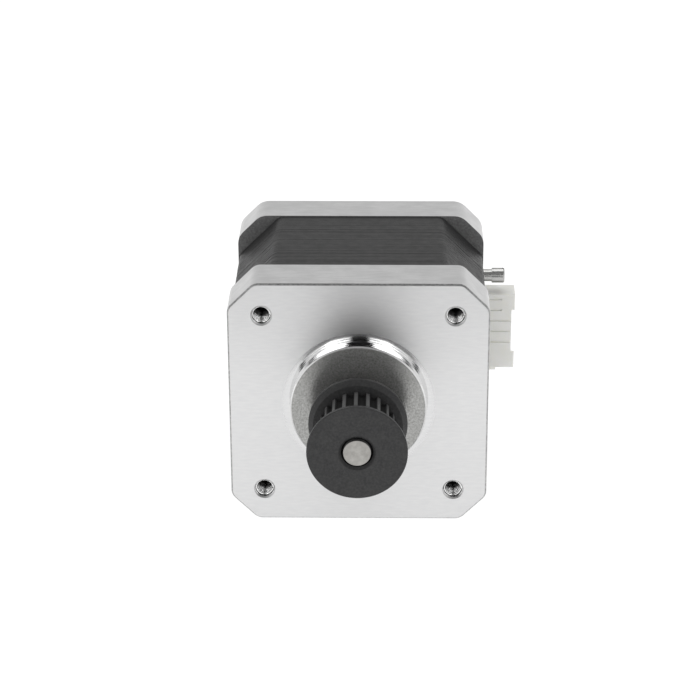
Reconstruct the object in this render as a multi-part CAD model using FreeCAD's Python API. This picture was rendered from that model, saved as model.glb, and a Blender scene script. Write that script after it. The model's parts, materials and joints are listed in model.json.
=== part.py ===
import FreeCAD, Part
import math
import os

# A 42 mm frame stepper motor lying on its side, with a flanged timing belt pulley on its shaft.
# Millimetres. The origin is where the shaft axis meets the front mounting face.
# -Y points out of the shaft end, +Y into the body, +X to the connector side and +Z up.

# Body
BODY_WIDTH = 42.0
HOLE_PITCH = 31.0
FRONT_CAP_LENGTH = 8.2
STACK_LENGTH = 22.2
REAR_CAP_LENGTH = 7.6
CAP_CORNER_LEG = 4.3
CAP_CORNER_BLEND = 2.0
REAR_CORNER_LEG = 3.9
REAR_CORNER_BLEND = 3.0
CAP_EDGE_BREAK = 0.3
STACK_WIDTH = 41.6
STACK_CORNER_LEG = 6.9
STACK_CORNER_BLEND = 1.8
PILOT_RADIUS = 11.0
PILOT_HEIGHT = 2.0
CAVITY_RADIUS = 18.0
FRONT_WALL = 3.0
REAR_WALL = 2.0
BEARING_BOSS_RADIUS = 10.0

# Screws
SCREW_RADIUS = 1.5
SCREW_CLEARANCE_RADIUS = 1.65
SCREW_HEAD_RADIUS = 2.75
SCREW_HEAD_HEIGHT = 2.0
SCREW_HEAD_ROUND = 0.6
CROSS_HALF_LENGTH = 1.6
CROSS_HALF_WIDTH = 0.28
CROSS_DEPTH = 1.1
COUNTERBORE_RADIUS = 3.1
COUNTERBORE_DEPTH = 2.5
MOUNT_THREAD_DEPTH = 4.5
MOUNT_MOUTH_RADIUS = 1.75
ENGAGED_THREAD_RADIUS = 1.34
BOLT_TIP_GAP = 0.3

# Shaft and bearings (5 x 16 x 5)
SHAFT_RADIUS = 2.5
SHAFT_FRONT = -17.8
SHAFT_CHAMFER = 0.38
SHAFT_HOLE_RADIUS = 4.0
REAR_HOLE_RADIUS = 4.5
BEARING_WIDTH = 5.0
BEARING_RADIUS = 8.0
OUTER_SHOULDER_RADIUS = 6.15
INNER_SHOULDER_RADIUS = 4.45
BALL_COUNT = 7
BALL_RADIUS = 1.35
BALL_CIRCLE_RADIUS = 5.3
BALL_CLEARANCE = 0.05
SHIELD_SEAT_RADIUS = 6.8
SHIELD_BORE_RADIUS = 4.7
SHIELD_THICKNESS = 0.2
SHIELD_INSET = 0.3
CAGE_WALL = 1.0
CAGE_RIM_SIDE = 1.75
CAGE_OPEN_SIDE = 0.8
POCKET_CLEARANCE = 0.07
FRONT_BEARING_START = 1.2
REAR_BEARING_START = 31.6
WASHER_THICKNESS = 0.4
WASHER_INNER_RADIUS = 5.6
WASHER_OUTER_RADIUS = 7.7

# Stator
POLE_COUNT = 8
TEETH_PER_POLE = 6
TOOTH_PITCH = 360.0 / 50
STATOR_BORE_RADIUS = 11.15
STATOR_TOOTH_DEPTH = 0.5
SHOE_BACK_RADIUS = 12.6
BACK_IRON_RADIUS = 17.6
NECK_HALF_WIDTH = 2.1
SLOT_MOUTH = 1.1
TOOTH_GAP_WIDTH = 0.75

# Winding insulators and coils
INSULATOR_ARM = 0.8
INSULATOR_RISE = 3.2
GUARD_INNER_RADIUS = 12.3
GUARD_OUTER_RADIUS = 12.95
RIM_INNER_RADIUS = 17.05
RIM_OUTER_RADIUS = 17.85
GUARD_SPAN = 36.0
COIL_INNER_RADIUS = 13.1
COIL_OUTER_RADIUS = 16.2
COIL_HALF_WINDOW = 2.2
COIL_HALF_WIDTH = 4.7
COIL_END_GAP = 0.05
COIL_END_BUILD = 2.3
COIL_ROUND = 1.4

# Rotor
ROTOR_TEETH = 50
ROTOR_RADIUS = 11.0
ROTOR_ROOT_RADIUS = 10.45
ROTOR_TOOTH_SHARE = 0.46
ROTOR_START = 9.4
ROTOR_END = 29.6
MAGNET_LENGTH = 2.8
MAGNET_RADIUS = 10.3
SPACER_RADIUS = 3.8

# Pulley: 20 teeth of 2 mm pitch
PULLEY_TEETH = 20
BELT_PITCH = 2.0
PITCH_LINE_OFFSET = 0.254
GROOVE_RADIUS = 0.6
GROOVE_DEPTH = 0.75
LAND_ROUND = 0.17
PULLEY_PHASE = -2.4
FLANGE_RADIUS = 7.9
FRONT_FLANGE_THICKNESS = 1.2
REAR_FLANGE_THICKNESS = 1.5
FLANGE_RIM_ROUND = 0.2
FRONT_FLANGE_LEAD = 0.5
REAR_FLANGE_LEAD = 0.75
BELT_TRACK_WIDTH = 8.2
FRONT_SPIGOT_RADIUS = 3.2
REAR_SPIGOT_RADIUS = 4.6
BORE_CHAMFER = 0.45

# Connector: 6 ways at 2 mm, standing out of the rear cap's side
WAY_COUNT = 6
WAY_PITCH = 2.0
CONNECTOR_CENTRE_Z = -0.45
CONNECTOR_FRONT = 30.7
CONNECTOR_DEPTH = 4.5
CONNECTOR_HALF_HEIGHT = 6.95
CONNECTOR_BASE_X = 19.1
CONNECTOR_TIP_X = 26.7
CONNECTOR_MIDDLE_X = 26.1
CONNECTOR_FLOOR_X = 21.2
CONNECTOR_WALL = 0.65
END_BLOCK_HEIGHT = 2.95
REAR_BLOCK_HEIGHT = 1.3
LIP_HEIGHT = 0.5
LIP_REACH = 2.5
HOUSING_ROUND = 0.2
RIB_WIDTH = 0.35
RIB_DEPTH = 0.3
LONG_GROOVE_X = 27.0
SHORT_GROOVE_X = 24.4
GROOVE_STEPS = [
    (-1, LONG_GROOVE_X), (0, LONG_GROOVE_X), (1, LONG_GROOVE_X),
    (2, SHORT_GROOVE_X), (3, SHORT_GROOVE_X),
]
BOARD_THICKNESS = 1.0
PIN_HALF = 0.25
PIN_TIP_X = 25.5
PIN_TAIL_X = 17.95
WINDOW_CLEARANCE = 0.2

# Side screw above the connector
SIDE_SCREW_Z = 9.3
SIDE_SCREW_Y = 32.6
SIDE_SCREW_NECK_RADIUS = 1.05
SIDE_SCREW_HEAD_RADIUS = 1.3
SIDE_SCREW_NECK_END = 22.6
SIDE_SCREW_TIP = 24.8
SIDE_SCREW_DEPTH = 3.5
SIDE_SCREW_SLOT = 0.4
SIDE_SCREW_HEAD_ROUND = 0.3

# Places that follow from the sizes above
STACK_START = FRONT_CAP_LENGTH
STACK_END = STACK_START + STACK_LENGTH
BODY_END = STACK_END + REAR_CAP_LENGTH
HALF_PITCH = HOLE_PITCH / 2
HOLE_PLACES = [(x, z) for x in (-HALF_PITCH, HALF_PITCH) for z in (-HALF_PITCH, HALF_PITCH)]
PULLEY_TIP_RADIUS = PULLEY_TEETH * BELT_PITCH / (2 * math.pi) - PITCH_LINE_OFFSET
TRACK_FRONT = SHAFT_FRONT + FRONT_FLANGE_THICKNESS
TRACK_REAR = TRACK_FRONT + BELT_TRACK_WIDTH
PULLEY_REAR = TRACK_REAR + REAR_FLANGE_THICKNESS
WASHER_START = REAR_BEARING_START + BEARING_WIDTH
SHAFT_REAR = BODY_END - 0.6
SIDE_SCREW_ROOT = BODY_WIDTH / 2 - SIDE_SCREW_DEPTH

Vector = FreeCAD.Vector
ORIGIN = Vector(0, 0, 0)
AXIS = Vector(0, 1, 0)
ACROSS = Vector(1, 0, 0)
EPS = 0.01


def disc(radius, start, end, x=0.0, z=0.0):
    """A cylinder along the shaft direction."""
    return Part.makeCylinder(radius, end - start, Vector(x, start, z), AXIS)


def ring(outer, inner, start, end):
    return disc(outer, start, end).cut(disc(inner, start - 1, end + 1))


def block(low, high):
    size = [b - a for a, b in zip(low, high)]
    return Part.makeBox(size[0], size[1], size[2], Vector(*low))


def turned(shape, angle):
    """A copy turned about the shaft axis; positive turns +Z towards +X."""
    copy = shape.copy()
    copy.rotate(ORIGIN, AXIS, angle)
    return copy


def join(shapes):
    return shapes[0].multiFuse(shapes[1:]).removeSplitter()


def cut_all(shape, tools):
    return shape.cut(Part.makeCompound(tools)).removeSplitter()


def lengthwise_edges(shape, keep):
    """Straight edges along the shaft direction whose middle point passes the test."""
    found = []
    for edge in shape.Edges:
        if len(edge.Vertexes) != 2:
            continue
        a, b = (vertex.Point for vertex in edge.Vertexes)
        along = abs(a.x - b.x) < EPS and abs(a.z - b.z) < EPS
        if along and keep((a + b) * 0.5):
            found.append(edge)
    return found


def edges_in_plane(shape, y, low=0.0, high=1e9):
    """Edges that lie in the plane at y, between two distances from the axis."""
    found = []
    for edge in shape.Edges:
        box = edge.BoundBox
        if abs(box.YMin - y) > EPS or abs(box.YMax - y) > EPS:
            continue
        centre = edge.valueAt((edge.FirstParameter + edge.LastParameter) / 2)
        if low <= math.hypot(centre.x, centre.z) <= high:
            found.append(edge)
    return found


def corner_cut_square(width, leg, blend, start, end):
    """A square prism with its four corners cut at 45 degrees and the cuts' edges rounded."""
    half = width / 2
    flat = half - leg
    outline = [(flat, half), (half, flat), (half, -flat), (flat, -half),
               (-flat, -half), (-half, -flat), (-half, flat), (-flat, half)]
    points = [Vector(x, start, z) for x, z in outline]
    wire = Part.makePolygon(points + points[:1])
    prism = Part.Face(wire).extrude(Vector(0, end - start, 0))
    return prism.makeFillet(blend, lengthwise_edges(prism, lambda point: True))


def screw_holes(radius, start, end):
    return [disc(radius, start, end, x, z) for x, z in HOLE_PLACES]


# ---------------------------------------------------------------- end caps and stack


def front_end_cap():
    cap = corner_cut_square(BODY_WIDTH, CAP_CORNER_LEG, CAP_CORNER_BLEND, 0, FRONT_CAP_LENGTH)
    cap = cap.makeChamfer(CAP_EDGE_BREAK, edges_in_plane(cap, 0))
    pilot = disc(PILOT_RADIUS, -PILOT_HEIGHT, 1)
    pilot = pilot.makeChamfer(CAP_EDGE_BREAK, edges_in_plane(pilot, -PILOT_HEIGHT))
    cap = cap.fuse(pilot)
    inner_boss = disc(BEARING_BOSS_RADIUS, FRONT_WALL - 1, FRONT_BEARING_START + BEARING_WIDTH + 0.4)
    cavity = disc(CAVITY_RADIUS, FRONT_WALL, FRONT_CAP_LENGTH + 1).cut(inner_boss)
    seat = disc(BEARING_RADIUS, FRONT_BEARING_START, FRONT_CAP_LENGTH)
    shaft_hole = disc(SHAFT_HOLE_RADIUS, -PILOT_HEIGHT - 1, FRONT_CAP_LENGTH)
    cap = cut_all(cap, [cavity]).cut(join([seat, shaft_hole]))
    for x, z in HOLE_PLACES:
        cap = cap.cut(tapped_hole(x, z))
    return cap


def tapped_hole(x, z):
    """A mounting thread from the front, then the narrower thread that a through bolt engages."""
    mount_thread = disc(SCREW_RADIUS, -1, MOUNT_THREAD_DEPTH, x, z)
    bolt_thread = disc(ENGAGED_THREAD_RADIUS, -1, FRONT_CAP_LENGTH + 1, x, z)
    return mount_thread.multiFuse([bolt_thread, mouth_cone(x, z)])


def mouth_cone(x, z):
    """The small countersink at the mouth of a mounting hole."""
    depth = MOUNT_MOUTH_RADIUS - SCREW_RADIUS
    return Part.makeCone(MOUNT_MOUTH_RADIUS, SCREW_RADIUS, depth, Vector(x, 0, z), AXIS)


def stator_laminations():
    """The stack of steel sheets: an outer square, eight poles and the small teeth on their shoes."""
    prism = corner_cut_square(STACK_WIDTH, STACK_CORNER_LEG, STACK_CORNER_BLEND, STACK_START, STACK_END)
    low = STACK_START - 1
    high = STACK_END + 1
    neck = block((-NECK_HALF_WIDTH, low, 0), (NECK_HALF_WIDTH, high, BACK_IRON_RADIUS + 1))
    pole_step = 360.0 / POLE_COUNT
    necks = [turned(neck, k * pole_step) for k in range(POLE_COUNT)]
    slots = ring(BACK_IRON_RADIUS, SHOE_BACK_RADIUS, low, high).cut(Part.makeCompound(necks))
    inside = STATOR_BORE_RADIUS - 0.5
    mouth = block((-SLOT_MOUTH / 2, low, inside), (SLOT_MOUTH / 2, high, SHOE_BACK_RADIUS + 0.2))
    mouths = [turned(mouth, (k + 0.5) * pole_step) for k in range(POLE_COUNT)]
    gap_top = STATOR_BORE_RADIUS + STATOR_TOOTH_DEPTH
    gap = block((-TOOTH_GAP_WIDTH / 2, low, inside), (TOOTH_GAP_WIDTH / 2, high, gap_top))
    gaps = []
    for pole in range(POLE_COUNT):
        for tooth in range(TEETH_PER_POLE - 1):
            offset = (tooth - (TEETH_PER_POLE - 2) / 2) * TOOTH_PITCH
            gaps.append(turned(gap, pole * pole_step + offset))
    bore = disc(STATOR_BORE_RADIUS, low, high)
    opening = bore.multiFuse(mouths + gaps)
    stack = prism.cut(slots).cut(opening)
    return stack.cut(Part.makeCompound(screw_holes(SCREW_CLEARANCE_RADIUS, low, high)))


def connector_window():
    """The space through the rear cap's side wall that the connector and its board stand in."""
    gap = WINDOW_CLEARANCE
    half = CONNECTOR_HALF_HEIGHT + gap
    low = (15.0, STACK_END - 1, CONNECTOR_CENTRE_Z - half)
    high = (BODY_WIDTH / 2 + 1, CONNECTOR_FRONT + CONNECTOR_DEPTH + gap, CONNECTOR_CENTRE_Z + half)
    return block(low, high)


def rear_end_cap():
    cap = corner_cut_square(BODY_WIDTH, REAR_CORNER_LEG, REAR_CORNER_BLEND, STACK_END, BODY_END)
    cap = cap.makeChamfer(CAP_EDGE_BREAK, edges_in_plane(cap, BODY_END))
    inner_boss = disc(BEARING_BOSS_RADIUS, REAR_BEARING_START - 0.4, BODY_END)
    cavity = disc(CAVITY_RADIUS, STACK_END - 1, BODY_END - REAR_WALL).cut(inner_boss)
    seat = disc(BEARING_RADIUS, STACK_END - 1, WASHER_START + WASHER_THICKNESS)
    shaft_hole = disc(REAR_HOLE_RADIUS, STACK_END - 1, BODY_END + 1)
    passages = screw_holes(SCREW_CLEARANCE_RADIUS, STACK_END - 1, BODY_END + 1)
    counterbores = screw_holes(COUNTERBORE_RADIUS, BODY_END - COUNTERBORE_DEPTH, BODY_END + 1)
    side_point = side_screw_point(SIDE_SCREW_ROOT)
    side_hole = Part.makeCylinder(SIDE_SCREW_NECK_RADIUS, 2 * SIDE_SCREW_DEPTH, side_point, ACROSS)
    cap = cap.cut(cavity).cut(join([seat, shaft_hole]))
    cap = cap.cut(Part.makeCompound(passages)).cut(Part.makeCompound(counterbores))
    return cap.cut(connector_window()).cut(side_hole)


# ---------------------------------------------------------------- windings


def insulator(face, direction):
    """A moulded frame on one end of the stack: an outer rim, eight arms and their inner guards."""
    near, far = sorted((face, face + direction * INSULATOR_ARM))
    low, high = sorted((face, face + direction * INSULATOR_RISE))
    pieces = [ring(RIM_OUTER_RADIUS, RIM_INNER_RADIUS, low, high)]
    arm = block((-NECK_HALF_WIDTH, near, GUARD_INNER_RADIUS + 0.2),
                (NECK_HALF_WIDTH, far, RIM_INNER_RADIUS + 0.4))
    guard = Part.makeCylinder(GUARD_OUTER_RADIUS, high - low, Vector(0, low, 0), AXIS, GUARD_SPAN)
    guard = guard.cut(disc(GUARD_INNER_RADIUS, low - 1, high + 1)).Solids[0]
    centring = guard_centring(guard)
    for k in range(POLE_COUNT):
        angle = k * 360.0 / POLE_COUNT
        pieces.append(turned(arm, angle))
        pieces.append(turned(guard, angle + centring))
    return join(pieces)


def guard_centring(guard):
    """The turn that centres a partial ring on +Z."""
    centre = guard.CenterOfMass
    return -math.degrees(math.atan2(centre.x, centre.z))


def rear_insulator():
    """The rear frame, with its rim open where the winding leads pass to the connector."""
    passage = block((GUARD_OUTER_RADIUS + 2, STACK_END + INSULATOR_ARM, -5.5),
                    (RIM_OUTER_RADIUS + 1, STACK_END + INSULATOR_RISE + 1, 5.5))
    return insulator(STACK_END, 1).cut(passage)


def rounded_plate(half_x, low, high, radius, depth):
    """A rounded rectangle in the XY plane, extruded up."""
    plate = block((-half_x, low, 0), (half_x, high, depth))
    upright = [edge for edge in plate.Edges if abs(edge.BoundBox.ZLength - depth) < EPS]
    return plate.makeFillet(radius, upright)


def coil():
    """One coil wound round the neck of the pole that points along +Z."""
    depth = COIL_OUTER_RADIUS - COIL_INNER_RADIUS
    inner_low = STACK_START - INSULATOR_ARM - COIL_END_GAP
    inner_high = STACK_END + INSULATOR_ARM + COIL_END_GAP
    outer = rounded_plate(COIL_HALF_WIDTH, inner_low - COIL_END_BUILD, inner_high + COIL_END_BUILD,
                          COIL_ROUND, depth)
    window = block((-COIL_HALF_WINDOW, inner_low, -1), (COIL_HALF_WINDOW, inner_high, depth + 1))
    loop = outer.cut(window)
    loop.translate(Vector(0, 0, COIL_INNER_RADIUS))
    return loop


def phase_coils(first):
    """Every second pole's coil."""
    step = 360.0 / POLE_COUNT
    return Part.makeCompound([turned(coil(), k * step) for k in range(first, POLE_COUNT, 2)])


def winding_leads():
    """Four short wires from the coil beside the connector to the board."""
    leads = []
    for k in (-1.5, -0.5, 0.5, 1.5):
        start = Vector(COIL_OUTER_RADIUS, STACK_END + 2.0, CONNECTOR_CENTRE_Z + k * WAY_PITCH)
        length = CONNECTOR_BASE_X - BOARD_THICKNESS - COIL_OUTER_RADIUS
        leads.append(Part.makeCylinder(0.2, length, start, Vector(1, 0, 0)))
    return Part.makeCompound(leads)


# ---------------------------------------------------------------- screws


def through_bolt(x, z):
    seat = BODY_END - COUNTERBORE_DEPTH
    tip = disc(ENGAGED_THREAD_RADIUS, MOUNT_THREAD_DEPTH + BOLT_TIP_GAP, FRONT_CAP_LENGTH + 1, x, z)
    shank = disc(SCREW_RADIUS, FRONT_CAP_LENGTH, seat + 0.1, x, z)
    top = seat + SCREW_HEAD_HEIGHT
    head = disc(SCREW_HEAD_RADIUS, seat, top, x, z)
    head = head.makeFillet(SCREW_HEAD_ROUND, edges_in_plane(head, top))
    screw = shank.multiFuse([tip, head])
    bar = (CROSS_HALF_LENGTH, CROSS_HALF_WIDTH)
    for wide, narrow in (bar, bar[::-1]):
        screw = screw.cut(block((x - wide, top - CROSS_DEPTH, z - narrow), (x + wide, top + 1, z + narrow)))
    return screw


def through_bolts():
    return Part.makeCompound([through_bolt(x, z) for x, z in HOLE_PLACES])


def side_screw_point(x):
    return Vector(x, SIDE_SCREW_Y, SIDE_SCREW_Z)


def side_screw():
    """A small slotted screw that stands out of the rear cap's side."""
    neck_length = SIDE_SCREW_NECK_END + 0.1 - SIDE_SCREW_ROOT
    neck = Part.makeCylinder(SIDE_SCREW_NECK_RADIUS, neck_length, side_screw_point(SIDE_SCREW_ROOT), ACROSS)
    head_length = SIDE_SCREW_TIP - SIDE_SCREW_NECK_END
    head_point = side_screw_point(SIDE_SCREW_NECK_END)
    head = Part.makeCylinder(SIDE_SCREW_HEAD_RADIUS, head_length, head_point, ACROSS)
    rim = [edge for edge in head.Edges if edge.BoundBox.XMin > SIDE_SCREW_TIP - EPS]
    head = head.makeFillet(SIDE_SCREW_HEAD_ROUND, rim)
    half_slot = SIDE_SCREW_SLOT / 2
    slot = block((SIDE_SCREW_TIP - SIDE_SCREW_SLOT, SIDE_SCREW_Y - half_slot, SIDE_SCREW_Z - 2),
                 (SIDE_SCREW_TIP + 1, SIDE_SCREW_Y + half_slot, SIDE_SCREW_Z + 2))
    return neck.fuse(head).cut(slot)


# ---------------------------------------------------------------- bearings


def race_groove(start):
    centre = Vector(0, start + BEARING_WIDTH / 2, 0)
    return Part.makeTorus(BALL_CIRCLE_RADIUS, BALL_RADIUS + BALL_CLEARANCE, centre, AXIS)


def outer_ring(start):
    end = start + BEARING_WIDTH
    body = ring(BEARING_RADIUS, OUTER_SHOULDER_RADIUS, start, end)
    seat_depth = SHIELD_INSET + SHIELD_THICKNESS
    seats = [disc(SHIELD_SEAT_RADIUS, start - 1, start + seat_depth),
             disc(SHIELD_SEAT_RADIUS, end - seat_depth, end + 1)]
    return body.cut(Part.makeCompound(seats)).cut(race_groove(start))


def inner_ring(start):
    return ring(INNER_SHOULDER_RADIUS, SHAFT_RADIUS, start, start + BEARING_WIDTH).cut(race_groove(start))


def shields(start):
    near = start + SHIELD_INSET
    far = start + BEARING_WIDTH - SHIELD_INSET - SHIELD_THICKNESS
    plates = [ring(SHIELD_SEAT_RADIUS, SHIELD_BORE_RADIUS, y, y + SHIELD_THICKNESS) for y in (near, far)]
    return Part.makeCompound(plates)


def ball_centres(start):
    y = start + BEARING_WIDTH / 2
    angles = [2 * math.pi * k / BALL_COUNT for k in range(BALL_COUNT)]
    return [Vector(BALL_CIRCLE_RADIUS * math.sin(a), y, BALL_CIRCLE_RADIUS * math.cos(a)) for a in angles]


def balls(start):
    return Part.makeCompound([Part.makeSphere(BALL_RADIUS, point) for point in ball_centres(start)])


def cage(start):
    """A crown-shaped ring with a pocket round each ball and a solid rim on its front side."""
    middle = start + BEARING_WIDTH / 2
    half_wall = CAGE_WALL / 2
    body = ring(BALL_CIRCLE_RADIUS + half_wall, BALL_CIRCLE_RADIUS - half_wall,
                middle - CAGE_RIM_SIDE, middle + CAGE_OPEN_SIDE)
    pocket_base = Vector(0, middle, BALL_CIRCLE_RADIUS - CAGE_WALL)
    pocket = Part.makeCylinder(BALL_RADIUS + POCKET_CLEARANCE, 2 * CAGE_WALL, pocket_base, Vector(0, 0, 1))
    pockets = [turned(pocket, 360.0 * k / BALL_COUNT) for k in range(BALL_COUNT)]
    return body.cut(Part.makeCompound(pockets))


def preload_washer():
    """The spring washer behind the rear bearing, pressed flat as it is when the motor is closed."""
    return ring(WASHER_OUTER_RADIUS, WASHER_INNER_RADIUS, WASHER_START, WASHER_START + WASHER_THICKNESS)


# ---------------------------------------------------------------- rotor


def shaft():
    rod = disc(SHAFT_RADIUS, SHAFT_FRONT, SHAFT_REAR)
    ends = edges_in_plane(rod, SHAFT_FRONT) + edges_in_plane(rod, SHAFT_REAR)
    return rod.makeChamfer(SHAFT_CHAMFER, ends)


def rotor_core(start, end, phase):
    """Fifty teeth round a ring. The lands are arcs and the gaps between them are flat-bottomed."""
    step = 360.0 / ROTOR_TEETH
    half_land = step * ROTOR_TOOTH_SHARE / 2

    def at(radius, degrees):
        angle = math.radians(degrees)
        return Vector(radius * math.sin(angle), start, radius * math.cos(angle))

    edges = []
    for k in range(ROTOR_TEETH):
        centre = k * step + phase
        land_start = at(ROTOR_RADIUS, centre - half_land)
        land_end = at(ROTOR_RADIUS, centre + half_land)
        root_start = at(ROTOR_ROOT_RADIUS, centre + half_land)
        root_end = at(ROTOR_ROOT_RADIUS, centre + step - half_land)
        next_land = at(ROTOR_RADIUS, centre + step - half_land)
        edges.append(Part.Arc(land_start, at(ROTOR_RADIUS, centre), land_end).toShape())
        edges.append(Part.LineSegment(land_end, root_start).toShape())
        edges.append(Part.LineSegment(root_start, root_end).toShape())
        edges.append(Part.LineSegment(root_end, next_land).toShape())
    core = Part.Face(Part.Wire(edges)).extrude(Vector(0, end - start, 0))
    return core.cut(disc(SHAFT_RADIUS, start - 1, end + 1))


def magnet_span():
    middle = (ROTOR_START + ROTOR_END) / 2
    return middle - MAGNET_LENGTH / 2, middle + MAGNET_LENGTH / 2


def front_rotor_core():
    return rotor_core(ROTOR_START, magnet_span()[0], 0)


def rear_rotor_core():
    return rotor_core(magnet_span()[1], ROTOR_END, 180.0 / ROTOR_TEETH)


def rotor_magnet():
    return ring(MAGNET_RADIUS, SHAFT_RADIUS, *magnet_span())


def front_spacer():
    return ring(SPACER_RADIUS, SHAFT_RADIUS, FRONT_BEARING_START + BEARING_WIDTH, ROTOR_START)


def rear_spacer():
    return ring(SPACER_RADIUS, SHAFT_RADIUS, ROTOR_END, REAR_BEARING_START)


# ---------------------------------------------------------------- pulley


def pulley_body():
    """The toothed body between the flanges, with a spigot at each end that a flange is pressed on."""
    teeth = disc(PULLEY_TIP_RADIUS, TRACK_FRONT, TRACK_REAR)
    centre = PULLEY_TIP_RADIUS - GROOVE_DEPTH + GROOVE_RADIUS
    groove = disc(GROOVE_RADIUS, TRACK_FRONT - 1, TRACK_REAR + 1, 0, centre)
    step = 360.0 / PULLEY_TEETH
    grooves = [turned(groove, PULLEY_PHASE + (k + 0.5) * step) for k in range(PULLEY_TEETH)]
    teeth = teeth.cut(Part.makeCompound(grooves))
    near_tip = PULLEY_TIP_RADIUS - 0.1
    teeth = teeth.makeFillet(LAND_ROUND, lengthwise_edges(teeth, lambda p: math.hypot(p.x, p.z) > near_tip))
    front = disc(FRONT_SPIGOT_RADIUS, SHAFT_FRONT, TRACK_FRONT + 0.5)
    rear = disc(REAR_SPIGOT_RADIUS, TRACK_REAR - 0.5, PULLEY_REAR)
    body = teeth.multiFuse([front, rear])
    body = body.cut(disc(SHAFT_RADIUS, SHAFT_FRONT - 1, PULLEY_REAR + 1))
    front_end = Vector(0, SHAFT_FRONT, 0)
    mouth = Part.makeCone(SHAFT_RADIUS + BORE_CHAMFER, SHAFT_RADIUS, BORE_CHAMFER, front_end, AXIS)
    return body.cut(mouth)


def flange(start, end, spigot, belt_side, lead):
    """A flange disc with a rounded rim; the belt's side is bevelled to lead the belt in."""
    plate = disc(FLANGE_RADIUS, start, end)
    outer_side = start if belt_side == end else end
    plate = plate.makeChamfer(lead, edges_in_plane(plate, belt_side))
    plate = plate.makeFillet(FLANGE_RIM_ROUND, edges_in_plane(plate, outer_side))
    return plate.cut(disc(spigot, start - 1, end + 1))


def pulley_front_flange():
    return flange(SHAFT_FRONT, TRACK_FRONT, FRONT_SPIGOT_RADIUS, TRACK_FRONT, FRONT_FLANGE_LEAD)


def pulley_rear_flange():
    return flange(TRACK_REAR, PULLEY_REAR, REAR_SPIGOT_RADIUS, TRACK_REAR, REAR_FLANGE_LEAD)


# ---------------------------------------------------------------- connector


def way_heights():
    first = CONNECTOR_CENTRE_Z - WAY_PITCH * (WAY_COUNT - 1) / 2
    return [first + k * WAY_PITCH for k in range(WAY_COUNT)]


def pin(z, low_x, high_x):
    y = CONNECTOR_FRONT + CONNECTOR_DEPTH / 2
    return block((low_x, y - PIN_HALF, z - PIN_HALF), (high_x, y + PIN_HALF, z + PIN_HALF))


def connector_pins():
    return Part.makeCompound([pin(z, PIN_TAIL_X, PIN_TIP_X) for z in way_heights()])


def connector_board():
    half = CONNECTOR_HALF_HEIGHT
    board = block((CONNECTOR_BASE_X - BOARD_THICKNESS, CONNECTOR_FRONT, CONNECTOR_CENTRE_Z - half),
                  (CONNECTOR_BASE_X, CONNECTOR_FRONT + CONNECTOR_DEPTH, CONNECTOR_CENTRE_Z + half))
    return board.cut(Part.makeCompound([pin(z, 15, 30) for z in way_heights()]))


def connector_housing():
    """The white shroud: open towards +X, with lower middle walls between taller end blocks."""
    half = CONNECTOR_HALF_HEIGHT
    low_z = CONNECTOR_CENTRE_Z - half
    high_z = CONNECTOR_CENTRE_Z + half
    rear = CONNECTOR_FRONT + CONNECTOR_DEPTH
    shell = block((CONNECTOR_BASE_X, CONNECTOR_FRONT, low_z), (CONNECTOR_TIP_X, rear, high_z))
    outer_edges = [edge for edge in shell.Edges if edge.BoundBox.XMax > CONNECTOR_TIP_X - EPS]
    shell = shell.makeFillet(HOUSING_ROUND, outer_edges)
    wall = CONNECTOR_WALL
    hollow = block((CONNECTOR_FLOOR_X, CONNECTOR_FRONT + wall, low_z + wall),
                   (CONNECTOR_TIP_X + 1, rear - wall, high_z - wall))
    dip_top = high_z - END_BLOCK_HEIGHT
    front_dip = block((CONNECTOR_MIDDLE_X, CONNECTOR_FRONT - 1, low_z + END_BLOCK_HEIGHT),
                      (CONNECTOR_TIP_X + 1, CONNECTOR_FRONT + 1, dip_top))
    rear_dip = block((CONNECTOR_MIDDLE_X, rear - 1, low_z + REAR_BLOCK_HEIGHT),
                     (CONNECTOR_TIP_X + 1, rear + 1, dip_top))
    side = BODY_WIDTH / 2
    flange_plate = block((side, CONNECTOR_FRONT + 0.3, low_z - LIP_HEIGHT),
                         (side + LIP_REACH, rear - 0.3, high_z))
    shell = join([shell, flange_plate]).cut(hollow).cut(front_dip).cut(rear_dip)
    grooves = []
    for step, tip_x in GROOVE_STEPS:
        z = CONNECTOR_CENTRE_Z + step * WAY_PITCH
        grooves.append(block((side + 1, CONNECTOR_FRONT - 1, z - RIB_WIDTH / 2),
                             (tip_x, CONNECTOR_FRONT + RIB_DEPTH, z + RIB_WIDTH / 2)))
    shell = shell.cut(Part.makeCompound(grooves))
    return shell.cut(Part.makeCompound([pin(z, 15, 30) for z in way_heights()]))


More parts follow.
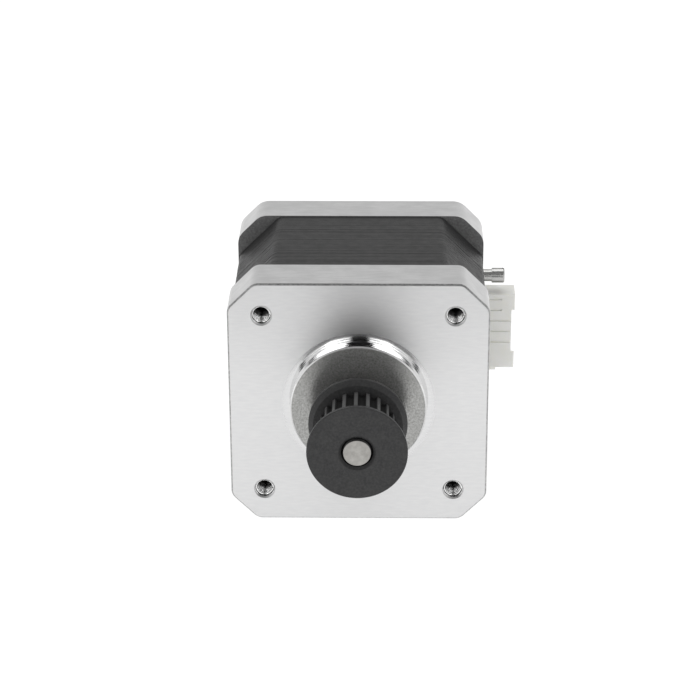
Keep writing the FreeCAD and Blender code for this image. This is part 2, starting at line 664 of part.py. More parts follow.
NODES = {
    "front_end_cap": front_end_cap,
    "stator_laminations": stator_laminations,
    "rear_end_cap": rear_end_cap,
    "front_insulator": lambda: insulator(STACK_START, -1),
    "rear_insulator": rear_insulator,
    "phase_a_coils": lambda: phase_coils(0),
    "phase_b_coils": lambda: phase_coils(1),
    "winding_leads": winding_leads,
    "through_bolts": through_bolts,
    "front_bearing_outer_ring": lambda: outer_ring(FRONT_BEARING_START),
    "front_bearing_shields": lambda: shields(FRONT_BEARING_START),
    "rear_bearing_outer_ring": lambda: outer_ring(REAR_BEARING_START),
    "rear_bearing_shields": lambda: shields(REAR_BEARING_START),
    "preload_washer": preload_washer,
    "connector_board": connector_board,
    "connector_housing": connector_housing,
    "connector_pins": connector_pins,
    "side_screw": side_screw,
    "shaft": shaft,
    "front_rotor_core": front_rotor_core,
    "rotor_magnet": rotor_magnet,
    "rear_rotor_core": rear_rotor_core,
    "front_spacer": front_spacer,
    "rear_spacer": rear_spacer,
    "front_bearing_inner_ring": lambda: inner_ring(FRONT_BEARING_START),
    "rear_bearing_inner_ring": lambda: inner_ring(REAR_BEARING_START),
    "pulley_body": pulley_body,
    "pulley_front_flange": pulley_front_flange,
    "pulley_rear_flange": pulley_rear_flange,
    "front_bearing_balls": lambda: balls(FRONT_BEARING_START),
    "front_bearing_cage": lambda: cage(FRONT_BEARING_START),
    "rear_bearing_balls": lambda: balls(REAR_BEARING_START),
    "rear_bearing_cage": lambda: cage(REAR_BEARING_START),
}


def main():
    os.makedirs("parts", exist_ok=True)
    for name, make in NODES.items():
        shape = make()
        shape.exportStep(os.path.join("parts", name + ".step"))
        print(name, len(shape.Solids), "solid", round(shape.Volume, 1), "mm3", shape.isValid())


main()
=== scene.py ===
import json
import math
import random

import bmesh
import bpy
from mathutils import Matrix, Vector


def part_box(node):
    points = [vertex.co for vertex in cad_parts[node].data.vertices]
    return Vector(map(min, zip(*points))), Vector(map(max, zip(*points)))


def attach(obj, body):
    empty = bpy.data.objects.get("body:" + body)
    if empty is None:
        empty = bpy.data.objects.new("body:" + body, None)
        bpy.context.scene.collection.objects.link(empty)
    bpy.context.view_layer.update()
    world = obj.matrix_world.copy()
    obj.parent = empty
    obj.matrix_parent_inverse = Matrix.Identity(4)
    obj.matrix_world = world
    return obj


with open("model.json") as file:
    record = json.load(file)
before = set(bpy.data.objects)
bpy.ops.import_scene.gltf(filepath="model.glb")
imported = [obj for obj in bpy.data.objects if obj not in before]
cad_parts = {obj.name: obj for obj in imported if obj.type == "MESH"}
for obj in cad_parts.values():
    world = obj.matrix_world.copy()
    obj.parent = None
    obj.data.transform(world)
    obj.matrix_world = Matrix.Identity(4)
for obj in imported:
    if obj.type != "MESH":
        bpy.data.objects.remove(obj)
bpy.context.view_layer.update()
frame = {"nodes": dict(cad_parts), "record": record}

# A stepper motor lying on its side with a black toothed belt pulley on its shaft.
# The frame is the CAD model's: -Y out of the shaft end, +X the connector side, +Z up. Metres.

MM = 0.001
NODES = frame["nodes"]


# ---------------------------------------------------------------- sizes read from the frame

cap_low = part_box("front_end_cap")[0]
stack_low, stack_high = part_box("stator_laminations")
shaft_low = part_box("shaft")[0]

PILOT_FACE_Y = cap_low[1]
STACK_START = stack_low[1]
STACK_END = stack_high[1]
HALF_STACK = stack_high[0]
FLOOR_Z = cap_low[2]
SHAFT_END = shaft_low[1]
TRACK_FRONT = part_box("pulley_front_flange")[1][1]
TRACK_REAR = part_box("pulley_rear_flange")[0][1]
LAND_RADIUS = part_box("pulley_body")[1][0]


def mount(name):
    return next(m for m in frame["record"]["mounts"] if m["name"] == name)


HOLES = mount("face_screws")["dims"]
HALF_PITCH = HOLES["spacing_x_mm"] / 2 * MM
HOLE_RADIUS = HOLES["hole_r_mm"] * MM
PILOT_RADIUS = mount("pilot_boss")["dims"]["r_mm"] * MM
HOLE_PLACES = [(x, z) for x in (-HALF_PITCH, HALF_PITCH) for z in (-HALF_PITCH, HALF_PITCH)]


# ---------------------------------------------------------------- shader helper


class Shader:
    """A principled material with short calls for the nodes that these finishes use.

    Lengths are millimetres: the object coordinates are scaled up once and shared."""

    def __init__(self, name, metallic=0.0, roughness=0.5):
        self.material = bpy.data.materials.new(name)
        self.material.use_nodes = True
        self.tree = self.material.node_tree
        self.bsdf = self.tree.nodes["Principled BSDF"]
        self.bsdf.inputs["Metallic"].default_value = metallic
        self.bsdf.inputs["Roughness"].default_value = roughness
        coords = self.tree.nodes.new("ShaderNodeTexCoord")
        scale = self.tree.nodes.new("ShaderNodeVectorMath")
        scale.operation = "SCALE"
        scale.inputs["Scale"].default_value = 1 / MM
        self.tree.links.new(coords.outputs["Object"], scale.inputs[0])
        self.mm = scale.outputs[0]

    def put(self, name, value):
        """Sets a principled input to a number, a colour or another node's output."""
        self.feed(self.bsdf.inputs[name], value)

    def feed(self, socket, value):
        if isinstance(value, bpy.types.NodeSocket):
            self.tree.links.new(value, socket)
        elif socket.type == "RGBA":
            socket.default_value = (*value, 1.0)
        else:
            socket.default_value = value

    def math(self, operation, a, b=0.0, c=0.0, clamp=False):
        node = self.tree.nodes.new("ShaderNodeMath")
        node.operation = operation
        node.use_clamp = clamp
        for socket, value in zip(node.inputs, (a, b, c)):
            self.feed(socket, value)
        return node.outputs[0]

    def stretch(self, factors):
        node = self.tree.nodes.new("ShaderNodeVectorMath")
        node.operation = "MULTIPLY"
        self.tree.links.new(self.mm, node.inputs[0])
        node.inputs[1].default_value = factors
        return node.outputs[0]

    def parts(self):
        node = self.tree.nodes.new("ShaderNodeSeparateXYZ")
        self.tree.links.new(self.mm, node.inputs[0])
        return node.outputs

    def radius(self):
        """Distance from the shaft axis, in millimetres."""
        x, _, z = self.parts()
        total = self.math("ADD", self.math("MULTIPLY", x, x), self.math("MULTIPLY", z, z))
        return self.math("SQRT", total)

    def at(self, value, place, reach=0.03):
        """One where a value is within reach of a place, and nought elsewhere."""
        distance = self.math("ABSOLUTE", self.math("SUBTRACT", value, place))
        return self.math("LESS_THAN", distance, reach)

    def hole_radius(self):
        """Distance from the axis of the nearest mounting hole, in millimetres."""
        x, _, z = self.parts()
        offsets = [self.math("SUBTRACT", self.math("ABSOLUTE", v), HALF_PITCH / MM) for v in (x, z)]
        squares = [self.math("MULTIPLY", v, v) for v in offsets]
        return self.math("SQRT", self.math("ADD", *squares))

    def rings(self, across, along, detail):
        """Noise in rings about the shaft axis, with a scale across the rings and one along the axis."""
        node = self.tree.nodes.new("ShaderNodeCombineXYZ")
        _, y, _ = self.parts()
        self.feed(node.inputs[0], self.math("MULTIPLY", self.radius(), across))
        self.feed(node.inputs[1], self.math("MULTIPLY", y, along))
        return self.noise(1.0, node.outputs[0], detail=detail)

    def noise(self, scale, vector=None, detail=3.0, roughness=0.55):
        node = self.tree.nodes.new("ShaderNodeTexNoise")
        self.tree.links.new(vector or self.mm, node.inputs["Vector"])
        node.inputs["Scale"].default_value = scale
        node.inputs["Detail"].default_value = detail
        node.inputs["Roughness"].default_value = roughness
        return node.outputs["Fac"]

    def cells(self, scale):
        node = self.tree.nodes.new("ShaderNodeTexVoronoi")
        self.tree.links.new(self.mm, node.inputs["Vector"])
        node.inputs["Scale"].default_value = scale
        return node.outputs["Distance"]

    def span(self, value, low, high, out_low=0.0, out_high=1.0, smooth=False):
        """Maps low..high to out_low..out_high, clamped."""
        node = self.tree.nodes.new("ShaderNodeMapRange")
        node.interpolation_type = "SMOOTHSTEP" if smooth else "LINEAR"
        self.tree.links.new(value, node.inputs["Value"])
        names = ("From Min", "From Max", "To Min", "To Max")
        for name, number in zip(names, (low, high, out_low, out_high)):
            node.inputs[name].default_value = number
        return node.outputs[0]

    def mix(self, factor, a, b):
        """A colour between a and b."""
        node = self.tree.nodes.new("ShaderNodeMix")
        node.data_type = "RGBA"
        self.feed(node.inputs["Factor"], factor)
        self.feed(node.inputs[6], a)
        self.feed(node.inputs[7], b)
        return node.outputs[2]

    def blend(self, factor, a, b):
        """A number between a and b."""
        node = self.tree.nodes.new("ShaderNodeMix")
        node.data_type = "FLOAT"
        self.feed(node.inputs["Factor"], factor)
        self.feed(node.inputs[2], a)
        self.feed(node.inputs[3], b)
        return node.outputs[0]

    def lathe(self, amount, turn=0.0):
        """Stretches highlights about the shaft axis, as on turned metal; turn is a share of a circle."""
        tangent = self.tree.nodes.new("ShaderNodeTangent")
        tangent.direction_type = "RADIAL"
        tangent.axis = "Y"
        self.put("Anisotropic", amount)
        self.put("Anisotropic Rotation", turn)
        self.put("Tangent", tangent.outputs[0])

    def bump(self, height, depth_mm):
        """Tilts the shading by a height pattern, without moving the surface."""
        node = self.tree.nodes.new("ShaderNodeBump")
        node.inputs["Strength"].default_value = 1.0
        node.inputs["Distance"].default_value = depth_mm * MM
        self.feed(node.inputs["Height"], height)
        self.put("Normal", node.outputs[0])


def grey(value):
    return (value, value, value)


# ---------------------------------------------------------------- finishes


# Places and sizes on the caps, the pulley and the shaft, in millimetres. Depths count from the
# mounting face and radii from an axis. ROOT_SLOPE is relief per millimetre of radius.

PILOT = PILOT_RADIUS / MM
LAND = LAND_RADIUS / MM
PLATE_BAND = 0.04
PILOT_FACE_END = PILOT_FACE_Y / MM + 0.1
EDGE_DEPTH = 0.28
EDGE_REACH = 18.0
ROOT_SHINE = (PILOT + 0.3, PILOT + 1.7)
ROOT_SLOPE_END = PILOT + 1.5
ROOT_SLOPE = 6.5
PILOT_RIPPLE = 0.62
PILOT_SHADE = (0.0, 8.0)
BORE_REACH = HOLE_RADIUS / MM + 0.03
BORE_START = 0.02
BORE_MOUTH = 0.45
BORE_LIT_DEPTH = (2.6, 3.4)
THREAD_CREST = (1.41, 1.49)
TRACK_MARGIN = 0.05
LAND_SKIN = (LAND - 0.06, LAND - 0.02)
GROOVE_WALL = (LAND - 0.45, LAND - 0.12)
SHAFT_SHADE_RING = (SHAFT_END / MM + 0.05, SHAFT_END / MM + 0.75)


class CapZones:
    """Masks for the parts of the caps' surface: one inside a part and nought outside it."""

    def __init__(self, s):
        x, y, z = s.parts()
        hole_r = s.hole_radius()
        reach = s.math("MAXIMUM", s.math("ABSOLUTE", x), s.math("ABSOLUTE", z))
        up_to_plate = s.math("LESS_THAN", y, PLATE_BAND)
        edge = s.math("MULTIPLY", s.math("LESS_THAN", y, EDGE_DEPTH), s.math("SUBTRACT", 1.0, up_to_plate))
        in_bore = s.math("LESS_THAN", hole_r, BORE_REACH)
        at_mouth = s.math("LESS_THAN", y, BORE_MOUTH)
        crest = s.math("MAXIMUM", s.span(hole_r, *THREAD_CREST, 1.0, 0.0), at_mouth)
        self.pilot = s.math("LESS_THAN", y, -PLATE_BAND)
        self.pilot_face = s.math("LESS_THAN", y, PILOT_FACE_END)
        self.pilot_painted_light = s.span(z, *PILOT_SHADE)
        self.plate = s.math("SUBTRACT", up_to_plate, self.pilot, clamp=True)
        self.edge_painted_reflection = s.math("MULTIPLY", edge, s.math("GREATER_THAN", reach, EDGE_REACH))
        self.by_stack = s.math("MAXIMUM", s.at(y, STACK_START / MM), s.at(y, STACK_END / MM))
        self.bore = s.math("MULTIPLY", in_bore, s.math("GREATER_THAN", y, BORE_START))
        self.bore_painted_light = s.math("MULTIPLY", crest, s.span(y, *BORE_LIT_DEPTH, 1.0, 0.0))


class CapMarks:
    """The noise patterns that the caps' colour, roughness and relief share."""

    def __init__(self, s):
        self.grain = s.noise(3.4, detail=4.0, roughness=0.75)
        self.blast = s.span(self.grain, 0.32, 0.68)
        self.coarse = s.noise(0.35, detail=3.0)
        self.lapped = s.noise(1.0, s.stretch((0.5, 1.0, 2.6)), detail=2.0, roughness=0.5)
        self.streak = s.noise(1.0, s.stretch((0.35, 4.0, 0.35)), detail=3.0, roughness=0.65)


def cap_tone(s, zones, marks):
    """Brushed plate, streaked rims with a painted reflection darkening the edge, a grainy pilot face, a
    pilot wall with painted light at the top and painted shade low down, dark grey faces beside the stack,
    and holes with painted shade inside and painted light on the thread crests near the mouth.
    """
    plate = s.mix(s.span(marks.lapped, 0.3, 0.7), (0.665, 0.666, 0.670), (0.705, 0.705, 0.705))
    rim = s.mix(s.span(marks.streak, 0.3, 0.7), grey(0.62), grey(0.76))
    rim = s.mix(s.span(marks.coarse, 0.35, 0.65, 0.0, 0.5), rim, grey(0.57))
    tone = s.mix(zones.plate, rim, plate)
    # Painted reflection: the chamfer round the plate is painted dark grey, standing in for the dark above
    # that it mirrors.
    tone = s.mix(zones.edge_painted_reflection, tone, s.mix(s.span(marks.grain, 0.4, 0.6), grey(0.28), grey(0.52)))
    # Painted light and shade: the pilot wall goes from darker grey low down to near-white at the top.
    tone = s.mix(zones.pilot, tone, s.mix(zones.pilot_painted_light, grey(0.62), grey(0.95)))
    tone = s.mix(zones.pilot_face, tone, s.mix(marks.blast, (0.24, 0.24, 0.23), (0.48, 0.48, 0.47)))
    # The cap faces beside the stack are dark grey and not metallic.
    tone = s.mix(zones.by_stack, tone, s.mix(marks.blast, grey(0.06), grey(0.15)))
    # Painted shade inside the mounting holes, with painted light: the thread crests near the mouth are
    # near-white.
    return s.mix(zones.bore, tone, s.mix(zones.bore_painted_light, grey(0.06), grey(0.95)))


def cap_roughness(s, zones, marks):
    """Shiny pilot wall and holes, duller rims, and a satin plate that turns shiny at the pilot's root."""
    off_root = s.span(s.radius(), *ROOT_SHINE, smooth=True)
    plate = s.blend(off_root, 0.06, s.span(marks.coarse, 0.3, 0.7, 0.285, 0.315))
    rough = s.blend(zones.plate, 0.42, plate)
    rough = s.blend(zones.pilot, rough, 0.04)
    rough = s.blend(zones.pilot_face, rough, s.span(marks.blast, 0.0, 1.0, 0.2, 0.13))
    return s.blend(zones.bore, rough, 0.12)


def cap_relief(s, zones, marks):
    """Brush marks, a slope towards the pilot's root, lathe ripple on the pilot and a pitted pilot face."""
    _, y, _ = s.parts()
    to_root = s.math("MINIMUM", s.math("SUBTRACT", s.radius(), ROOT_SLOPE_END), 0.0)
    plate = s.math("MULTIPLY_ADD", marks.lapped, 0.3, s.math("MULTIPLY", to_root, ROOT_SLOPE))
    height = s.blend(zones.plate, s.math("MULTIPLY", marks.streak, 0.9), plate)
    ripple = s.math("SINE", s.math("MULTIPLY", y, 2 * math.pi / PILOT_RIPPLE))
    turned = s.math("MULTIPLY_ADD", ripple, 0.35, s.rings(across=5.0, along=5.0, detail=2.0))
    height = s.blend(zones.pilot, height, turned)
    pitted = s.math("MULTIPLY_ADD", marks.grain, 1.8, s.math("MULTIPLY", s.cells(2.6), 0.6))
    return s.blend(zones.pilot_face, height, pitted)


def cap_aluminium():
    """Die-cast caps: a lapped plate, milled rims, a turned pilot and a shot-blasted pilot face."""
    s = Shader("cap_aluminium")
    zones = CapZones(s)
    marks = CapMarks(s)
    metal = s.blend(zones.pilot_face, 1.0, 0.72)
    s.put("Base Color", cap_tone(s, zones, marks))
    s.put("Metallic", s.math("SUBTRACT", metal, zones.by_stack, clamp=True))
    s.put("Roughness", cap_roughness(s, zones, marks))
    s.lathe(0.72, s.math("MULTIPLY", zones.plate, 0.25))
    s.bump(cap_relief(s, zones, marks), depth_mm=0.012)
    return s.material


def lamination_black():
    """Satin black paint over the edges of stamped sheets."""
    s = Shader("lamination_black")
    mottled = s.noise(0.8, detail=4.0)
    streak = s.noise(1.0, s.stretch((0.25, 7.0, 0.25)), detail=3.0)
    tone = s.mix(s.span(mottled, 0.3, 0.7), grey(0.016), grey(0.024))
    tone = s.mix(s.span(streak, 0.45, 0.75, 0.0, 0.5), tone, grey(0.05))
    s.put("Base Color", tone)
    s.put("Roughness", s.span(mottled, 0.3, 0.7, 0.36, 0.5))
    s.put("Specular IOR Level", 0.28)
    s.bump(s.noise(4.0, detail=4.0), depth_mm=0.012)
    return s.material


def pulley_black():
    """Black anodising with faint lathe rings, brighter on the tooth lands, and painted shade that makes
    the grooves darkest.
    """
    s = Shader("pulley_black")
    r = s.radius()
    _, y, _ = s.parts()
    ring = s.rings(across=4.0, along=5.0, detail=3.0)
    stain = s.noise(0.6, detail=4.0)
    speck = s.noise(2.6, detail=4.0, roughness=0.7)
    behind_front = s.math("GREATER_THAN", y, TRACK_FRONT / MM + TRACK_MARGIN)
    before_rear = s.math("LESS_THAN", y, TRACK_REAR / MM - TRACK_MARGIN)
    in_track = s.math("MULTIPLY", behind_front, before_rear)
    land = s.math("MULTIPLY", in_track, s.span(r, *LAND_SKIN))
    groove_shade = s.math("MULTIPLY", in_track, s.span(r, *GROOVE_WALL, 1.0, 0.0))
    tone = s.mix(s.span(stain, 0.3, 0.7), (0.020, 0.020, 0.021), (0.028, 0.028, 0.028))
    tone = s.mix(s.span(speck, 0.4, 0.75, 0.0, 0.7), tone, grey(0.052))
    tone = s.mix(land, tone, grey(0.085))
    # Painted shade: the grooves between the teeth are painted nearly black.
    tone = s.mix(groove_shade, tone, grey(0.008))
    s.put("Base Color", tone)
    s.put("Roughness", s.blend(groove_shade, s.span(ring, 0.3, 0.7, 0.40, 0.52), 0.8))
    s.put("Specular IOR Level", 0.3)
    s.bump(s.math("ADD", ring, s.math("MULTIPLY", speck, 0.6)), depth_mm=0.012)
    return s.material


def shaft_steel():
    """Ground shaft with a turned end that shows the lathe's rings, and a dark ring of painted shade just
    behind the end.
    """
    s = Shader("shaft_steel", metallic=1.0)
    _, y, _ = s.parts()
    ring_start, ring_end = SHAFT_SHADE_RING
    on_end = s.math("LESS_THAN", y, ring_start)
    behind_end = s.math("GREATER_THAN", y, ring_start)
    shade_ring = s.math("MULTIPLY", behind_end, s.math("LESS_THAN", y, ring_end))
    turned = s.rings(across=7.0, along=6.0, detail=3.0)
    smear = s.noise(1.2, detail=4.0)
    end_tone = s.mix(s.span(smear, 0.35, 0.65), (0.33, 0.322, 0.305), (0.42, 0.41, 0.39))
    tone = s.mix(on_end, (0.72, 0.71, 0.69), end_tone)
    # Painted shade: a dark ring just behind the end, where the shaft sits in the pulley's bore.
    s.put("Base Color", s.mix(shade_ring, tone, grey(0.05)))
    s.put("Roughness", s.blend(on_end, 0.09, s.span(turned, 0.3, 0.7, 0.29, 0.4)))
    s.bump(turned, depth_mm=0.005)
    s.lathe(0.75)
    return s.material


def bright_steel(name, tone, roughness, painted_shade_before=None):
    """Ground or plated steel with fine wear marks, and painted shade that makes it dark grey before a
    given place along the shaft.
    """
    s = Shader(name, metallic=1.0)
    marks = s.noise(1.6, detail=4.0, roughness=0.6)
    darker = tuple(0.84 * c for c in tone)
    colour = s.mix(s.span(marks, 0.3, 0.7), darker, tone)
    if painted_shade_before is not None:
        _, y, _ = s.parts()
        # Painted shade: dark grey in front of that place, where the screw ends sit deep in the mounting
        # holes.
        colour = s.mix(s.math("LESS_THAN", y, painted_shade_before / MM), colour, grey(0.03))
    s.put("Base Color", colour)
    s.put("Roughness", s.span(marks, 0.3, 0.7, roughness * 0.9, roughness * 1.15))
    s.bump(marks, depth_mm=0.003)
    return s.material


def core_steel():
    """Bare stamped sheets seen edge on."""
    s = Shader("core_steel", metallic=1.0)
    sheets = s.noise(1.0, s.stretch((0.15, 4.0, 0.15)), detail=2.0)
    s.put("Base Color", s.mix(sheets, grey(0.36), grey(0.50)))
    s.put("Roughness", 0.38)
    s.bump(sheets, depth_mm=0.01)
    return s.material


def moulded_plastic(name, light, dark, roughness, soft):
    """Moulded nylon: a slight cloud in the colour, a fine spark-eroded skin and a little glow."""
    s = Shader(name)
    cloud = s.noise(0.45, detail=3.0)
    skin = s.noise(14.0, detail=3.0)
    s.put("Base Color", s.mix(s.span(cloud, 0.35, 0.65), dark, light))
    s.put("Roughness", s.span(skin, 0.3, 0.7, roughness - 0.06, roughness + 0.06))
    s.put("Subsurface Weight", soft)
    s.put("Subsurface Radius", (1.0, 0.95, 0.85))
    s.put("Subsurface Scale", 0.6 * MM)
    s.bump(skin, depth_mm=0.005)
    return s.material


def winding_copper():
    """Enamelled copper wire."""
    s = Shader("winding_copper", metallic=0.85)
    tint = s.noise(1.5, detail=3.0)
    s.put("Base Color", s.mix(tint, (0.48, 0.17, 0.06), (0.66, 0.27, 0.10)))
    strand = s.noise(1.0, s.stretch((5.0, 5.0, 5.0)), detail=1.0)
    s.put("Roughness", s.span(strand, 0.3, 0.7, 0.22, 0.36))
    s.put("Coat Weight", 0.4)
    s.put("Coat Roughness", 0.15)
    return s.material


def board_laminate():
    """Green glass-fibre board with its weave."""
    s = Shader("board_laminate", roughness=0.4)
    weave = s.noise(3.0, s.stretch((1.0, 2.0, 2.0)), detail=2.0)
    s.put("Base Color", s.mix(weave, (0.03, 0.12, 0.05), (0.05, 0.18, 0.08)))
    s.bump(weave, depth_mm=0.01)
    return s.material


def sintered_magnet():
    """Grainy grey magnet."""
    s = Shader("magnet", metallic=0.9)
    grains = s.cells(4.0)
    s.put("Base Color", s.mix(grains, grey(0.16), grey(0.28)))
    s.put("Roughness", s.span(grains, 0.0, 0.8, 0.5, 0.7))
    s.bump(grains, depth_mm=0.02)
    return s.material


FINISHES = {
    "cap_aluminium": cap_aluminium(),
    "lamination_black": lamination_black(),
    "pulley_black": pulley_black(),
    "shaft_steel": shaft_steel(),
    "screw_steel": bright_steel("screw_steel", (0.50, 0.50, 0.49), 0.22, painted_shade_before=STACK_START),
    "bearing_steel": bright_steel("bearing_steel", (0.72, 0.72, 0.72), 0.14),
    "cage_metal": bright_steel("cage_metal", (0.62, 0.55, 0.42), 0.34),
    "pin_metal": bright_steel("pin_metal", (0.78, 0.76, 0.70), 0.22),
    "core_steel": core_steel(),
    "magnet": sintered_magnet(),
    "insulator_nylon": moulded_plastic(
        "insulator_nylon", light=(0.80, 0.77, 0.68), dark=(0.74, 0.71, 0.62), roughness=0.5, soft=0.1),
    "connector_nylon": moulded_plastic(
        "connector_nylon", light=(0.95, 0.95, 0.915), dark=(0.91, 0.91, 0.865), roughness=0.42, soft=0.25),
    "winding_copper": winding_copper(),
    "board_laminate": board_laminate(),
}

for entry in frame["record"]["subparts"]:
    node = NODES[entry["node"]]
    finish = FINISHES[entry["material_slot"]]
    for slot in node.material_slots:
        slot.material = finish


# ---------------------------------------------------------------- added geometry


def link(obj):
    """Puts an object into the scene."""
    bpy.context.scene.collection.objects.link(obj)
    return obj


def mesh_piece(name, bm, body, slot, smooth=False):
    """Turns a bmesh into a piece that rides on a body and takes the finish of a material slot."""
    bmesh.ops.recalc_face_normals(bm, faces=bm.faces)
    mesh = bpy.data.meshes.new(name)
    bm.to_mesh(mesh)
    bm.free()
    for polygon in mesh.polygons:
        polygon.use_smooth = smooth
    piece = link(bpy.data.objects.new(name, mesh))
    mesh.materials.append(FINISHES[slot])
    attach(piece, body)
    return piece


SHEET_SEED = 17
SHEET_COUNT = 44
SHEET_GAP = 0.035 * MM
SHEET_PROUD = 0.02 * MM
SHEET_SCATTER = 0.014 * MM
SHEET_SKIN = 0.35 * MM
SHEET_CORNER = 6.9 * MM
SHEET_BLEND = 1.8 * MM
BLEND_STEPS = 5
CORNER_TURN = math.radians(45)


def corner_cut_outline(half, leg, blend):
    """Points of a square with cut corners, its eight turns rounded to a radius."""
    flat = half - leg
    corners = [(flat, half), (half, flat), (half, -flat), (flat, -half),
               (-flat, -half), (-half, -flat), (-half, flat), (-flat, half)]
    half_turn = CORNER_TURN / 2
    points = []
    for k, corner in enumerate(corners):
        here = Vector(corner)
        before = (Vector(corners[k - 1]) - here).normalized()
        after = (Vector(corners[(k + 1) % len(corners)]) - here).normalized()
        centre = here + (before + after).normalized() * blend / math.cos(half_turn)
        first = here + before * blend * math.tan(half_turn) - centre
        last = here + after * blend * math.tan(half_turn) - centre
        for step in range(BLEND_STEPS + 1):
            points.append(centre + first.lerp(last, step / BLEND_STEPS).normalized() * blend)
    return points


def lamination_edges():
    """The edges of the stamped sheets, each a little out of line with its neighbours."""
    rng = random.Random(SHEET_SEED)
    bm = bmesh.new()
    pitch = (STACK_END - STACK_START) / SHEET_COUNT
    for k in range(SHEET_COUNT):
        proud = SHEET_PROUD + rng.uniform(-SHEET_SCATTER, SHEET_SCATTER) / 2
        shift_x = rng.uniform(-SHEET_SCATTER, SHEET_SCATTER)
        shift_z = rng.uniform(-SHEET_SCATTER, SHEET_SCATTER)
        outer = corner_cut_outline(HALF_STACK + proud, SHEET_CORNER, SHEET_BLEND)
        inner = corner_cut_outline(HALF_STACK - SHEET_SKIN, SHEET_CORNER, SHEET_BLEND)
        low = STACK_START + k * pitch + SHEET_GAP / 2
        high = STACK_START + (k + 1) * pitch - SHEET_GAP / 2
        loops = []
        for outline, y in ((outer, low), (outer, high), (inner, high), (inner, low)):
            loops.append([bm.verts.new((p.x + shift_x, y, p.y + shift_z)) for p in outline])
        count = len(outer)
        for a in range(4):
            first, second = loops[a], loops[(a + 1) % 4]
            for i in range(count):
                j = (i + 1) % count
                bm.faces.new((first[i], first[j], second[j], second[i]))
    return mesh_piece("lamination_edges", bm, "motor", "lamination_black")


THREAD_PITCH = 0.5 * MM
THREAD_DEPTH = 0.24 * MM
THREAD_SINK = 0.01 * MM
THREAD_FLAT = 0.03 * MM
THREAD_FRONT = 0.14 * MM
THREAD_BACK = 0.22 * MM
THREAD_START = 0.45 * MM
THREAD_TURNS = 8
THREAD_STEPS = 40


def mounting_threads():
    """The screw threads in the four mounting holes, each a four-cornered section swept round a helix."""
    bm = bmesh.new()
    root = HOLE_RADIUS + THREAD_SINK
    crest = HOLE_RADIUS - THREAD_DEPTH
    section = ((root, -THREAD_FRONT), (crest, -THREAD_FLAT), (crest, THREAD_FLAT), (root, THREAD_BACK))
    for x, z in HOLE_PLACES:
        rings = []
        for k in range(THREAD_TURNS * THREAD_STEPS + 1):
            angle = 2 * math.pi * k / THREAD_STEPS
            y = THREAD_START + THREAD_PITCH * k / THREAD_STEPS
            turn = (math.cos(angle), math.sin(angle))
            rings.append([bm.verts.new((x + r * turn[0], y + v, z + r * turn[1])) for r, v in section])
        for first, second in zip(rings, rings[1:]):
            for i in range(4):
                j = (i + 1) % 4
                bm.faces.new((first[i], first[j], second[j], second[i]))
        bm.faces.new(rings[0])
        bm.faces.new(rings[-1])
    return mesh_piece("mounting_threads", bm, "motor", "cap_aluminium", smooth=True)


lamination_edges()
mounting_threads()


# ---------------------------------------------------------------- floor, light and camera


FLOOR_RADIUS = 6.0
FLOOR_DROP = 0.02 * MM
FLOOR_TONE = 0.25
FLOOR_GLOW = 0.90

# Each sky stop is a share of the way up and a brightness.

SKY_LOW = (0.1, 0.85)
SKY_MIDDLE = (0.5, 0.62)
SKY_HIGH = (0.95, 0.22)

LENS = 119.05
SENSOR = 36.0
CAMERA_PLACE = Vector((4.93, -338.62, 160.94)) * MM
CAMERA_PITCH = math.radians(24.079)
CAMERA_YAW = math.radians(-1.063)
CAMERA_ROLL = math.radians(-0.226)
MOTOR_CENTRE = (0, 0.01, 0)


def matt_material(name, tone):
    """A grey without any shine, and the node that holds its inputs."""
    material = bpy.data.materials.new(name)
    material.use_nodes = True
    bsdf = material.node_tree.nodes["Principled BSDF"]
    bsdf.inputs["Base Color"].default_value = (*grey(tone), 1)
    bsdf.inputs["Specular IOR Level"].default_value = 0.0
    return material, bsdf


def floor():
    """A pale floor that glows like a light table, so that shadows stay faint."""
    bm = bmesh.new()
    bmesh.ops.create_circle(bm, cap_ends=True, segments=96, radius=FLOOR_RADIUS)
    mesh = bpy.data.meshes.new("floor")
    bm.to_mesh(mesh)
    bm.free()
    plane = link(bpy.data.objects.new("floor", mesh))
    plane.location.z = FLOOR_Z - FLOOR_DROP
    material, bsdf = matt_material("pale_floor", FLOOR_TONE)
    bsdf.inputs["Roughness"].default_value = 0.9
    bsdf.inputs["Emission Color"].default_value = (1, 1, 1, 1)
    bsdf.inputs["Emission Strength"].default_value = FLOOR_GLOW
    mesh.materials.append(material)


def facing(place, aim):
    """The turn that points a lamp or a card at a place."""
    return (Vector(aim) - Vector(place)).to_track_quat("-Z", "Y").to_euler()


def softbox(name, place, aim, size, radiance):
    """A rectangular light with an even glow, given as the brightness of its face."""
    data = bpy.data.lights.new(name, "AREA")
    data.shape = "RECTANGLE"
    data.size, data.size_y = size
    data.energy = radiance * math.pi * size[0] * size[1]
    lamp = link(bpy.data.objects.new(name, data))
    lamp.location = place
    lamp.rotation_euler = facing(place, aim)
    lamp.visible_camera = False


def dark_card(name, place, aim, size):
    """A black card that only shows in reflections, to give bright metal its dark edges."""
    bm = bmesh.new()
    bmesh.ops.create_grid(bm, x_segments=1, y_segments=1, size=0.5)
    mesh = bpy.data.meshes.new(name)
    bm.to_mesh(mesh)
    bm.free()
    card = link(bpy.data.objects.new(name, mesh))
    card.location = place
    card.rotation_euler = facing(place, aim)
    card.scale = (size[0], size[1], 1)
    material, _ = matt_material("black_card", 0.01)
    mesh.materials.append(material)
    card.visible_camera = False
    card.visible_diffuse = False
    card.visible_shadow = False


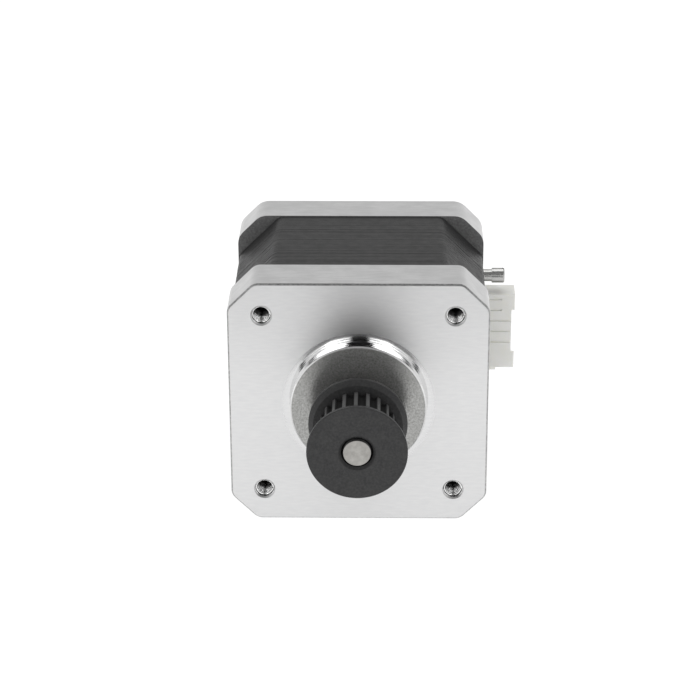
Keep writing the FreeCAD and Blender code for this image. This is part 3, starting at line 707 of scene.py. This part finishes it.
def studio_world():
    """Soft light all round that fades towards the top, seen as plain white behind the object."""
    world = bpy.data.worlds.new("studio")
    bpy.context.scene.world = world
    world.use_nodes = True
    tree = world.node_tree
    background = tree.nodes["Background"]
    sight = tree.nodes.new("ShaderNodeLightPath")
    seen = tree.nodes.new("ShaderNodeMix")
    seen.data_type = "RGBA"
    seen.inputs[7].default_value = (*grey(1.0), 1)
    coords = tree.nodes.new("ShaderNodeTexCoord")
    split = tree.nodes.new("ShaderNodeSeparateXYZ")
    ramp = tree.nodes.new("ShaderNodeValToRGB")
    tree.links.new(coords.outputs["Generated"], split.inputs[0])
    tree.links.new(split.outputs["Z"], ramp.inputs["Fac"])
    tree.links.new(ramp.outputs["Color"], seen.inputs[6])
    tree.links.new(sight.outputs["Is Camera Ray"], seen.inputs["Factor"])
    tree.links.new(seen.outputs[2], background.inputs["Color"])
    stops = ramp.color_ramp.elements
    for stop, (height, tone) in zip(stops, (SKY_LOW, SKY_HIGH)):
        stop.position = height
        stop.color = (*grey(tone), 1)
    height, tone = SKY_MIDDLE
    stops.new(height).color = (*grey(tone), 1)


def camera():
    """Looks down on the shaft end from slightly to the connector's side."""
    data = bpy.data.cameras.new("camera")
    data.lens = LENS
    data.sensor_width = SENSOR
    data.clip_start = 0.01
    data.clip_end = 50
    eye = link(bpy.data.objects.new("camera", data))
    aim = Vector((math.sin(CAMERA_YAW) * math.cos(CAMERA_PITCH),
                  math.cos(CAMERA_YAW) * math.cos(CAMERA_PITCH), -math.sin(CAMERA_PITCH)))
    turn = aim.to_track_quat("-Z", "Y").to_matrix().to_4x4()
    eye.matrix_world = Matrix.Translation(CAMERA_PLACE) @ turn @ Matrix.Rotation(CAMERA_ROLL, 4, "Z")
    bpy.context.scene.camera = eye


floor()
studio_world()
for side in (-0.19, 0.19):
    softbox("front_softbox", place=(side, -0.60, 0.16), aim=MOTOR_CENTRE, size=(0.20, 0.34), radiance=1.9)
softbox("top_softbox", place=(0, 0.25, 0.8), aim=MOTOR_CENTRE, size=(0.9, 0.6), radiance=1.7)
dark_card("camera_shade", place=(0.004, -0.56, 0.27), aim=(0, 0, 0.27), size=(0.165, 0.60))
dark_card("front_gap", place=(0, -0.42, FLOOR_Z + 0.001), aim=(0, -0.42, 1), size=(0.6, 0.54))
camera()
bpy.context.scene.view_settings.view_transform = "Standard"
